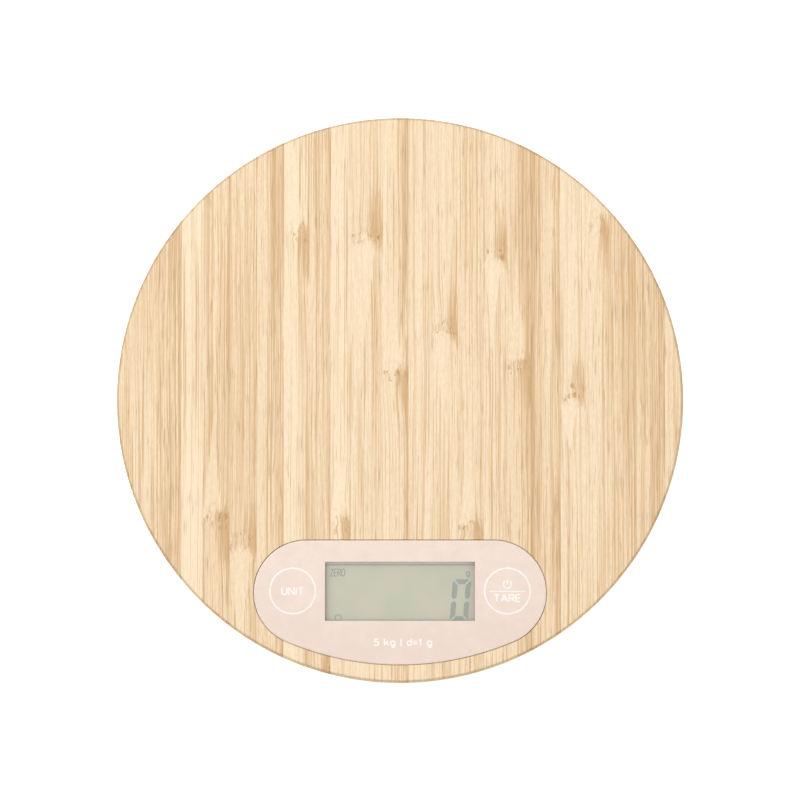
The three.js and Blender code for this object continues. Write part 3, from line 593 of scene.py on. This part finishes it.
def circuit_board():
    """Circuit board: glass-epoxy laminate with etched copper tracks under green lacquer.

    The eye gets lighter green tracks 0.5 mm wide that turn between tinned holes, on a darker
    green ground with the faint weave of the glass cloth.
    """
    material, tree, shader, place = new_finish("circuit_board", {"IOR": 1.55})
    cells = add(tree, "ShaderNodeTexVoronoi", {"feature": "DISTANCE_TO_EDGE"},
                {"Vector": stretched(tree, place, (0.22, 0.4, 0.0)), "Scale": 1.0,
                 "Randomness": 0.7})
    track = add(tree, "ShaderNodeMapRange", SMOOTH,
                {"Value": cells, "From Min": 0.05, "From Max": 0.09, "To Min": 1.0, "To Max": 0.0})
    dots = add(tree, "ShaderNodeTexVoronoi", {"feature": "F1"},
               {"Vector": stretched(tree, place, (0.3, 0.3, 0.0)), "Scale": 1.0,
                "Randomness": 0.8})
    hole = add(tree, "ShaderNodeMapRange", SMOOTH,
               {"Value": dots.outputs["Distance"], "From Min": 0.14, "From Max": 0.18,
                "To Min": 1.0, "To Max": 0.0})
    weave = add(tree, "ShaderNodeTexBrick", {"offset": 0.5},
                {"Vector": place, "Color1": (1, 1, 1, 1), "Color2": (0.8, 0.8, 0.8, 1),
                 "Mortar": (0.5, 0.5, 0.5, 1), "Scale": 1.0, "Mortar Size": 0.06,
                 "Brick Width": 0.8, "Row Height": 0.8})
    coloured(tree, shader, weave.outputs["Color"], ("#205733", "#26643a"),
             [(track, "#3f8a51"), (hole, "#d0cdbd")])
    rough = add(tree, "ShaderNodeMapRange", None,
                {"Value": track, "To Min": 0.42, "To Max": 0.32})
    link(tree, rough, shader, "Roughness")
    bumped(tree, shader, track, 0.03)
    return material


# ---------------------------------------------------------------- shapes

def made(name, mesh):
    """Turn a bmesh in millimetres into a piece in metres with its faces pointing out."""
    bmesh.ops.recalc_face_normals(mesh, faces=mesh.faces)
    bmesh.ops.scale(mesh, vec=(MM, MM, MM), verts=mesh.verts)
    data = bpy.data.meshes.new(name)
    mesh.to_mesh(data)
    mesh.free()
    piece = bpy.data.objects.new(name, data)
    bpy.context.scene.collection.objects.link(piece)
    return piece


def rounded(corners, steps=5):
    """A path through corners given as (a, b, radius), with an arc in place of each corner."""
    path = []
    for index, (a, b, radius) in enumerate(corners):
        corner = Vector((a, b))
        if radius == 0:
            path.append((a, b))
            continue
        before = Vector(corners[index - 1][:2]) - corner
        after = Vector(corners[(index + 1) % len(corners)][:2]) - corner
        half = before.angle(after) / 2
        reach = min(radius / math.tan(half), 0.48 * before.length, 0.48 * after.length)
        radius = reach * math.tan(half)
        inward = (before.normalized() + after.normalized()).normalized()
        centre = corner + inward * radius / math.sin(half)
        first = (corner + before.normalized() * reach - centre).normalized()
        last = (corner + after.normalized() * reach - centre).normalized()
        path += [tuple(centre + first.slerp(last, step / steps) * radius)
                 for step in range(steps + 1)]
    return path


def turned(name, profile, place=(0, 0), steps=96, ring=False):
    """Sweep a profile of (radius, height) points once round a vertical axis."""
    mesh = bmesh.new()
    rows = []
    for radius, height in profile:
        count = 1 if radius < 1e-6 else steps
        turns = [2 * math.pi * step / steps for step in range(count)]
        rows.append([mesh.verts.new((place[0] + radius * math.cos(turn),
                                     place[1] + radius * math.sin(turn), height))
                     for turn in turns])
    pairs = list(zip(rows, rows[1:]))
    if ring:
        pairs.append((rows[-1], rows[0]))
    for low, high in pairs:
        for step in range(steps):
            after = (step + 1) % steps
            corners = (low[step % len(low)], low[after % len(low)],
                       high[after % len(high)], high[step % len(high)])
            mesh.faces.new(list(dict.fromkeys(corners)))
    return made(name, mesh)


def stack(name, loops):
    """A closed shape through loops of (x, y, z) points of equal length, capped at both ends."""
    mesh = bmesh.new()
    rows = [[mesh.verts.new(point) for point in loop] for loop in loops]
    for low, high in zip(rows, rows[1:]):
        for index in range(len(low)):
            after = (index + 1) % len(low)
            mesh.faces.new((low[index], low[after], high[after], high[index]))
    mesh.faces.new(rows[0])
    mesh.faces.new(rows[-1])
    return made(name, mesh)


def plate(name, outline, bottom, top):
    """A flat piece cut to an outline of (x, y) points."""
    return stack(name, [[(x, y, height) for x, y in outline] for height in (bottom, top)])


def rectangle(width, depth, middle, corner=0.0):
    """A rectangle about a middle point, its corners rounded."""
    x, y = middle
    right, left = x + width / 2, x - width / 2
    back, front = y + depth / 2, y - depth / 2
    corners = ((left, front), (right, front), (right, back), (left, back))
    return rounded([(a, b, corner) for a, b in corners])


def panel_outline(inset):
    """The panel's outline drawn in by an inset: straight back, round ends, shallow front arc."""
    lean = math.atan2(END_Y - FRONT_Y, END_X)
    end = END_RADIUS - inset
    front = FRONT_RADIUS - inset
    quarter = math.pi / 2
    turns = [quarter + (lean - quarter) * step / ARC_STEPS for step in range(ARC_STEPS + 1)]
    right = [(END_X + end * math.cos(turn), END_Y + end * math.sin(turn)) for turn in turns]
    sweep = -math.pi - 2 * lean
    turns = [lean + sweep * step / ARC_STEPS for step in range(1, ARC_STEPS)]
    arc = [(front * math.cos(turn), FRONT_Y + front * math.sin(turn)) for turn in turns]
    left = [(-x, y) for x, y in reversed(right)]
    return right + arc + left


def panel_stack(name, levels):
    """A shape with the panel's outline, given as (inset, height) levels."""
    return stack(name, [[(x, y, height) for x, y in panel_outline(inset)]
                        for inset, height in levels])


def carve(piece, *cutters, operation="DIFFERENCE"):
    """Cut shapes out of a piece, and throw the cutters away."""
    for cutter in cutters:
        change = piece.modifiers.new("carve", "BOOLEAN")
        change.operation = operation
        change.solver = "MANIFOLD"
        change.object = cutter
    graph = bpy.context.evaluated_depsgraph_get()
    piece.data = bpy.data.meshes.new_from_object(piece.evaluated_get(graph))
    piece.modifiers.clear()
    for cutter in cutters:
        bpy.data.objects.remove(cutter)
    return piece


def joined(name, pieces):
    """Several pieces made into one."""
    mesh = bmesh.new()
    for piece in pieces:
        mesh.from_mesh(piece.data)
        bpy.data.objects.remove(piece)
    bmesh.ops.scale(mesh, vec=(1 / MM,) * 3, verts=mesh.verts)
    return made(name, mesh)


def ribbon(name, path, width, bottom, top):
    """A flat stroke of one width along an open path."""
    left, right = [], []
    for index, point in enumerate(path):
        here = Vector(point)
        before = Vector(path[max(index - 1, 0)])
        after = Vector(path[min(index + 1, len(path) - 1)])
        run = (after - before).normalized() * width / 2
        left.append((here.x - run.y, here.y + run.x))
        right.append((here.x + run.y, here.y - run.x))
    return plate(name, left + right[::-1], bottom, top)


def lettering(name, text, middle, size, bottom, top, stroke):
    """Raised letters of one stroke width, filling a (width, height) about a middle point."""
    advance = sum(LETTERS[letter][0] for letter in text) + LETTER_SPACE * (len(text) - 1)
    grow = size[0] / advance
    left = middle[0] - size[0] / 2
    base = middle[1] - size[1] / 2
    pieces = []
    for letter in text:
        width, strokes = LETTERS[letter]
        for path in strokes:
            points = [(left + x * width * grow, base + y * size[1]) for x, y in path]
            round_by = [0] + [stroke * 0.6] * (len(points) - 2) + [0]
            soft = rounded([(*point, radius) for point, radius in zip(points, round_by)], steps=4)
            lift = 0.0015 * len(pieces)
            pieces.append(ribbon("stroke", soft, stroke, bottom, top + lift))
        left += (width + LETTER_SPACE) * grow
    return joined(name, pieces)


def fit(piece, finish, body, slot, *solids):
    """Give a piece its finish, the body it moves with, and the plain solids it stands for."""
    piece.data.materials.clear()
    piece.data.materials.append(finish)
    piece.data.shade_smooth()
    piece.data.set_sharp_from_angle(angle=math.radians(32))
    even = piece.modifiers.new("even_normals", "WEIGHTED_NORMAL")
    even.keep_sharp = True
    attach(piece, body)
    if solids:
        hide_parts(*solids)
    return piece


# ---------------------------------------------------------------- platform and panel

def make_platform(finish):
    """Bamboo disc with soft edges, a recess for the panel, and two steps down for its frame."""
    profile = rounded([
        (0, DISC_BOTTOM, 0),
        (DISC_RADIUS, DISC_BOTTOM, DISC_EDGE),
        (DISC_RADIUS, DISC_TOP, DISC_EDGE),
        (0, DISC_TOP, 0),
    ], steps=8)
    disc = turned("bamboo_platform", profile, steps=256)
    carve(
        disc,
        panel_stack("cut", [(0, RECESS_FLOOR), (0, DISC_TOP - RECESS_EDGE),
                            (-RECESS_EDGE, DISC_TOP), (-RECESS_EDGE, ABOVE)]),
        panel_stack("cut", [(1.2, 15.5), (1.2, 17.5)]),
        panel_stack("cut", [(3.7, 9), (3.7, 16)]),
    )
    fit(disc, finish, "scale_body", "bamboo", "platform")


def make_film(finish):
    """Film with a softened edge, a hole for each key and an opening for the display."""
    film = panel_stack("panel_face", [
        (FILM_INSET, FILM_BOTTOM), (FILM_INSET, FILM_TOP - 0.28),
        (FILM_INSET + 0.1, FILM_TOP - 0.13), (FILM_INSET + 0.5, FILM_TOP),
    ])
    under = FILM_BOTTOM - 0.4
    holes = [post("cut", RING_SEAT, (x, KEY_Y), under, ABOVE, 96) for x in (-KEY_X, KEY_X)]
    sight = stack("cut", [
        [(x, y, height) for x, y in rectangle(SIGHT[0] + grow, SIGHT[1] + grow, (0, SIGHT_Y), 0.12)]
        for grow, height in ((0, under), (0, FILM_TOP - 0.1), (0.2, FILM_TOP), (0.2, ABOVE))
    ])
    carve(film, sight, *holes)
    fit(film, finish, "scale_body", "panel_film", "panel_film")


def make_key(side, x, face, print_finish):
    """The key zone that goes down, and the printed ring whose lip lies over its edge."""
    cap = turned(f"{side}_key_cap", rounded([
        (0, 16.1, 0), (2, 16.1, 0), (2, 16.3, 0), (KEY_RADIUS, 16.3, 0),
        (KEY_RADIUS, KEY_TOP, 0.04), (0, KEY_TOP, 0),
    ]), (x, KEY_Y), steps=128)
    fit(cap, face, f"{side}_button", "panel_film", f"{side}_key")
    ring = turned(f"{side}_key_ring", [
        (RING_WALL, 17.45), (RING_SEAT, 17.45), (RING_SEAT, FILM_TOP), (RING_OUTER, FILM_TOP),
        (RING_OUTER - 0.05, FILM_TOP + 0.03), (RING_INNER + 0.05, FILM_TOP + 0.03),
        (RING_INNER, FILM_TOP - 0.02), (RING_WALL, FILM_TOP - 0.02),
    ], (x, KEY_Y), steps=128, ring=True)
    fit(ring, print_finish, "scale_body", "panel_film")


def make_print(finish):
    """Printed legends: each key's moves with the key, the load legend stays on the film."""
    low, high = KEY_TOP, KEY_TOP + INK
    unit = lettering("unit_legend", "UNIT", (-KEY_X, KEY_Y), (7.6, 2.4), low, high, 0.48)
    fit(unit, finish, "unit_button", "panel_film")
    turns = [math.radians(90 + 35 + 290 * step / 24) for step in range(25)]
    marks = [
        lettering("tare", "TARE", (KEY_X, -70.3), (9.2, 2.45), low, high, 0.54),
        plate("line", rectangle(12.8, 0.36, (KEY_X, -67.9), 0.1), low, high),
        ribbon("ring", [(KEY_X + 1.4 * math.cos(t), -65.4 + 1.4 * math.sin(t)) for t in turns],
               0.44, low, high),
        plate("bar", rectangle(0.44, 1.5, (KEY_X, -64.4), 0.12), low, high),
    ]
    fit(joined("tare_legend", marks), finish, "tare_button", "panel_film")
    low, high = FILM_TOP, FILM_TOP + INK
    load = lettering("load_legend", "5 kg | d=1 g", (1, -85.8), (20.2, 2.2), low, high, 0.5)
    fit(load, finish, "scale_body", "panel_film")


def make_figures(finish):
    """The dark marks in the display: a slanted nought, the word and unit, and a small ring."""
    low, high = LCD_TOP + 0.02, LCD_TOP + 0.05
    bar = [(-2.27, 7.35), (2.27, 7.35), (2.2, 6.9), (1.1, 5.6), (-1.1, 5.6), (-2.2, 6.9)]
    upright = [(-3.0, 6.75), (-1.4, 5.25), (-1.4, 1.2), (-1.95, 0.5), (-2.7, 0.5), (-3.25, 1.2),
               (-3.25, 6.4)]
    bars = []
    corners = ((1, 1), (-1, 1), (1, -1), (-1, -1))
    for shape, mirrors in ((bar, ((1, 1), (1, -1))), (upright, corners)):
        for sx, sy in mirrors:
            points = [(21.3 + sx * x + 0.08 * sy * y, -70.85 + sy * y) for x, y in shape]
            bars.append(plate("bar", points, low, high))
    turns = [2 * math.pi * step / 32 for step in range(33)]
    bars += [
        lettering("word", "ZERO", (-22, -61.15), (5.1, 2.4), low, high, 0.34),
        lettering("unit", "g", (23.9, -61.2), (1.2, 1.9), low, high, 0.38),
        turned("spot", [(0.92, low), (1.28, low), (1.28, high), (0.92, high)], (-21.8, -77.1),
               32, True),
    ]
    fit(joined("display_figures", bars), finish, "scale_body", "lcd_glass")


# ---------------------------------------------------------------- base, feet and door

def foot_place(name):
    """The middle of a foot."""
    turn = math.radians(FOOT_ANGLES[name])
    return FOOT_REACH * math.cos(turn), FOOT_REACH * math.sin(turn)


def sector(name, inner, outer, middle, spread, place, bottom, top):
    """A slice of a ring between two radii, spread degrees wide."""
    turns = [math.radians(middle - spread / 2 + spread * step / 12) for step in range(13)]
    far = [(place[0] + outer * math.cos(t), place[1] + outer * math.sin(t)) for t in turns]
    near = [(place[0] + inner * math.cos(t), place[1] + inner * math.sin(t)) for t in turns]
    return plate(name, far + near[::-1], bottom, top)


def post(name, radius, place, bottom, top, steps=48):
    """An upright round bar."""
    return turned(name, [(0, bottom), (radius, bottom), (radius, top), (0, top)], place, steps)


def make_base(finish):
    """Moulded tray with screw bosses and a ring round the cell bay, open for feet and door."""
    shell = turned("base_shell", rounded([
        (0, BASE_BOTTOM, 0), (BASE_RADIUS, BASE_BOTTOM, 2.4), (BASE_RADIUS, BASE_TOP, 0.3),
        (BASE_RADIUS - 1.8, BASE_TOP, 0.3), (BASE_RADIUS - 1.8, BASE_FLOOR, 0.8), (0, BASE_FLOOR, 0),
    ]), steps=256)
    bosses = [post("boss", 4.5, place, BASE_FLOOR - 1, BASE_TOP) for place in SCREW_PLACES]
    bay = carve(post("bay", 18, DOOR_PLACE, BASE_FLOOR - 1, 8, 96),
                post("cut", 16.5, DOOR_PLACE, BASE_FLOOR - 2, 9, 96))
    carve(shell, *bosses, bay, operation="UNION")
    cuts = [post("cut", 13.3, DOOR_PLACE, 2, 8, 96)]
    cuts += [sector("cut", 12, 15.8, angle + 60, 36, DOOR_PLACE, 2, 6) for angle in LUG_ANGLES]
    for name in FOOT_ANGLES:
        cuts.append(turned("cut", [
            (0, 2), (10.5, 2), (10.5, BASE_BOTTOM), (10, 3.5), (10, 6), (0, 6),
        ], foot_place(name)))
    for place in SCREW_PLACES:
        cuts.append(turned("cut", [(0, 2), (3.6, 2), (3.6, BASE_BOTTOM), (3.2, 3.4), (3.2, 6),
                                   (1.7, 6), (1.7, 11), (0, 11)], place, 48))
    cuts.append(turned("cut", [(84, 2), (84.8, 2), (84.8, 3.3), (84, 3.3)], steps=256, ring=True))
    cuts.append(plate("cut", rectangle(44, 20, (0, -12), 2), 2, 3.25))
    carve(shell, *cuts)
    fit(shell, finish, "scale_body", "base_plastic", "base_housing")


def make_foot(name, cap_finish, pad_finish):
    """Flanged cap that bears on the load cell, and a grooved rubber pad let into it."""
    cap = turned(f"{name}_foot_cap", rounded([
        (0, 1.7, 0), (8.5, 1.7, 0.1), (8.5, 0.9, 0.15), (9.5, 0.9, 0.4), (9.5, 5.1, 0.2),
        (12, 5.1, 0.2), (12, 6.1, 0.2), (3, 6.1, 0.2), (3, 6.7, 0.2), (0, 6.7, 0),
    ], steps=4), foot_place(name), steps=80)
    fit(cap, cap_finish, f"foot_{name}", "base_plastic", f"foot_cap_{name}")
    grooves = []
    for radius in (2.2, 4.2, 6.2):
        grooves += [(radius - 0.5, 0, 0), (radius - 0.3, 0.35, 0.1), (radius + 0.3, 0.35, 0.1),
                    (radius + 0.5, 0, 0)]
    pad = turned(f"{name}_foot_pad", rounded(
        [(0, 0, 0)] + grooves + [(8.2, 0, 0.4), (8.2, 1.4, 0.1), (0, 1.4, 0)], steps=4,
    ), foot_place(name), steps=80)
    fit(pad, pad_finish, f"foot_{name}", "foot_rubber", f"foot_pad_{name}")


def make_screw(number, place, finish):
    """Cross-head screw, its head sunk in the base."""
    screw = turned(f"base_screw_head_{number}", rounded([
        (0, 4.0, 0), (2.6, 4.0, 0.7), (2.6, 5.7, 0.1), (1.4, 5.7, 0.1), (1.4, 13.6, 0.2), (0, 15, 0),
    ], steps=4), place, steps=48)
    slots = [plate("cut", rectangle(*size, place, 0.2), 3, 4.9)
             for size in ((3.0, 0.75), (0.75, 3.0))]
    carve(screw, *slots)
    fit(screw, finish, "scale_body", "zinc", f"base_screw_{number}")


def make_door(finish):
    """Round door with three lugs inside the base and a slot for a coin."""
    dish = turned("battery_door_disc", rounded([
        (0, 3.2, 0), (9.6, 3.2, 0.1), (9.8, 3.5, 0.1), (10.4, 3.5, 0.1), (10.6, 3.2, 0.1),
        (13, 3.2, 0.5), (13, 6.1, 0.2), (10.8, 6.1, 0.2), (10.8, 4.4, 0.2), (0, 4.4, 0),
    ], steps=4), DOOR_PLACE, steps=128)
    lugs = [sector("lug", 12, 15.4, angle, 30, DOOR_PLACE, 5.1, 6.1) for angle in LUG_ANGLES]
    carve(dish, *lugs, operation="UNION")
    carve(dish, plate("cut", rectangle(14, 1.8, DOOR_PLACE, 0.8), 2.2, 3.9))
    fit(dish, finish, "door", "base_plastic", "battery_door")


# ---------------------------------------------------------------- everything together

def dress(names, finish):
    """Give solids that keep their own shape a better finish."""
    for name in names:
        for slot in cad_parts[name].material_slots:
            slot.material = finish


def make_stage():
    """A pale matt table that glows a little, soft light from all round, and two softboxes."""
    material = new_finish("pale_table", {
        "Base Color": tint("#fbfbfb"), "Roughness": 0.9, "Specular IOR Level": 0.1,
        "Emission Color": (1, 1, 1, 1), "Emission Strength": TABLE_GLOW,
    })[0]
    bpy.ops.mesh.primitive_plane_add(size=6, location=(0, 0, 0))
    floor = bpy.context.object
    floor.name = "pale_table"
    floor.data.materials.append(material)
    world = bpy.data.worlds.new("studio")
    bpy.context.scene.world = world
    world.use_nodes = True
    background = world.node_tree.nodes["Background"]
    background.inputs["Color"].default_value = (1, 1, 1, 1)
    background.inputs["Strength"].default_value = ROOM_LIGHT
    for name, place, size, power in (
        ("main_softbox", (-0.55, 0.5, 1.7), 1.3, 21.2),
        ("fill_softbox", (0.9, -0.5, 1.4), 1.2, 4.9),
    ):
        light = bpy.data.lights.new(name, "AREA")
        light.size = size
        light.energy = power
        lamp = bpy.data.objects.new(name, light)
        lamp.location = place
        lamp.rotation_euler = (-Vector(place)).to_track_quat("-Z", "Y").to_euler()
        bpy.context.scene.collection.objects.link(lamp)
    bpy.context.scene.view_settings.view_transform = "Standard"


def make_camera():
    """A long lens almost straight above, leaning towards the front."""
    elevation = math.radians(CAMERA_ELEVATION)
    distance = CAMERA_DISTANCE
    aim = Vector((0, CAMERA_AIM_Y * MM, DISC_TOP * MM))
    data = bpy.data.cameras.new("camera")
    data.sensor_width = SENSOR
    data.lens = SENSOR * distance / FIELD_WIDTH
    camera = bpy.data.objects.new("camera", data)
    camera.location = aim + distance * Vector((0, -math.cos(elevation), math.sin(elevation)))
    camera.rotation_euler = (math.pi / 2 - elevation, 0, 0)
    bpy.context.scene.collection.objects.link(camera)
    bpy.context.scene.camera = camera


def main():
    board = bamboo()
    face = printed_film()
    glass = display_glass()

    # screen-printed white ink, slightly cream and slightly raised
    ink = mottled("white_print", ("#fffaf2", "#fff6ec"), 0.5, 0.5, 0.004)
    # liquid crystal turned dark: a flat green-grey with a faint grain
    figures = mottled("display_figures", ("#8b9284", "#868e80"), 0.5, 0.4, 0.002)
    # display frame: ABS moulded in a warm grey, sparked to a fine matt
    carrier = mottled("display_frame", ("#fff0dc", "#faead6"), 0.3, 0.6, 0.01)
    # window: clear cast acrylic, polished, so it shows as a faint gloss
    pane = mottled("clear_window", ("#f4f6f4", "#f0f3f0"), 0.3, 0.06, 0.001,
                   {"Alpha": 0.12, "IOR": 1.49})
    # base, feet and door: ABS moulded in warm white, with a fine spark-eroded tooth
    shell = mottled("base_plastic", ("#dedad2", "#d9d4cb"), 0.5, 0.5, 0.02, {"IOR": 1.54})
    # foot pads: moulded soft rubber, very matt, a little dusty
    rubber = mottled("foot_rubber", ("#b7b3ac", "#aaa69e"), 1.0, 0.85, 0.03, {"IOR": 1.52})
    # screws: cold-headed steel with bright zinc, faintly blue in the patches
    zinc = mottled("zinc_plate", ("#c9ccce", "#b4b8bc"), 1.0, 0.35, 0.01, {"Metallic": 1.0})
    # switches: glass-filled nylon moulded black, with a dull grain from the glass
    nylon = mottled("switch_plastic", ("#232325", "#303034"), 1.5, 0.55, 0.02, {"IOR": 1.53})
    # chip cover: a drop of black epoxy set over the bare chip, smooth and glossy
    epoxy = mottled("epoxy_drop", ("#121214", "#1b1b1e"), 0.4, 0.22, 0.02, {"IOR": 1.55})
    # capacitor: a drawn aluminium can with fine rings from the drawing die
    can = spun("drawn_aluminium", ("#c2c4c6", "#dcdddf"), (20, -72), 0.32)
    # coin cell: pressed stainless steel, brushed in rings about its middle
    cell = spun("cell_steel", ("#b3b4b4", "#d3d3d1"), DOOR_PLACE, 0.3)
    # load cells: cold-rolled spring steel, stamped, with roll lines from front to back
    spring = rolled("spring_steel", ("#a3a6a8", "#bfc2c4"), 1, 0.38)
    # brackets: rolled steel sheet with dull zinc, its roll lines from side to side
    sheet = rolled("bracket_zinc", ("#a8acb0", "#c6c9cb"), 0, 0.42)
    # battery contacts: spring bronze with bright nickel over it, slightly warm
    nickel = rolled("contact_nickel", ("#c8c3b8", "#dedacf"), 0, 0.25)
    # reflector behind the display: aluminium foil with a satin brushed face
    foil = rolled("reflector_foil", ("#c4c4bc", "#dcdcd4"), 0, 0.4)
    # connector: silicone with black carbon layers 0.1 mm apart, drawn 0.4 mm apart
    zebra = banded("zebra_silicone", ("#d9d8d4", "#2c2c2e"), 0.4, "X", 0.6)
    # strain gauges: amber film with a foil grid of fine parallel lines
    gauge = banded("gauge_film", ("#c98f3e", "#8d8577"), 0.5, "Y", 0.4)
    # leads: stranded wire in soft PVC, slightly glossy, marked by handling
    red = mottled("red_lead", ("#b8322c", "#a62a26"), 0.6, 0.42, 0.01, {"IOR": 1.53})
    black = mottled("black_lead", ("#1e1e20", "#29292b"), 0.6, 0.42, 0.01, {"IOR": 1.53})
    grey = mottled("grey_lead", ("#8c8c90", "#7f7f84"), 0.6, 0.42, 0.01, {"IOR": 1.53})

    make_platform(board)
    make_film(face)
    make_key("unit", -KEY_X, face, ink)
    make_key("tare", KEY_X, face, ink)
    make_print(ink)
    make_figures(figures)
    make_base(shell)
    for name in FOOT_ANGLES:
        make_foot(name, shell, rubber)
    for number, place in enumerate(SCREW_PLACES, 1):
        make_screw(number, place, zinc)
    make_door(shell)

    dress(["display_window"], pane)
    dress(["display_frame"], carrier)
    dress(["lcd_front_glass", "lcd_rear_glass"], glass)
    dress(["lcd_reflector"], foil)
    dress(["zebra_connector"], zebra)
    dress(["main_board"], circuit_board())
    dress(["chip_cover"], epoxy)
    dress(["capacitor"], can)
    dress([f"{side}_switch_{part}" for side in ("unit", "tare") for part in ("body", "stem")],
          nylon)
    dress([f"board_screw_{number}" for number in range(1, 5)], zinc)
    for kind, finish in (("load_cell", spring), ("cell_bracket", sheet),
                         ("strain_gauge", gauge), ("cell_lead", grey)):
        dress([f"{kind}_{corner}" for corner in FOOT_ANGLES], finish)
    dress(["battery_lead_positive"], red)
    dress(["battery_lead_negative"], black)
    dress(["coin_cell"], cell)
    dress(["battery_contact_negative", "battery_contact_positive"], nickel)
    make_stage()
    make_camera()


main()
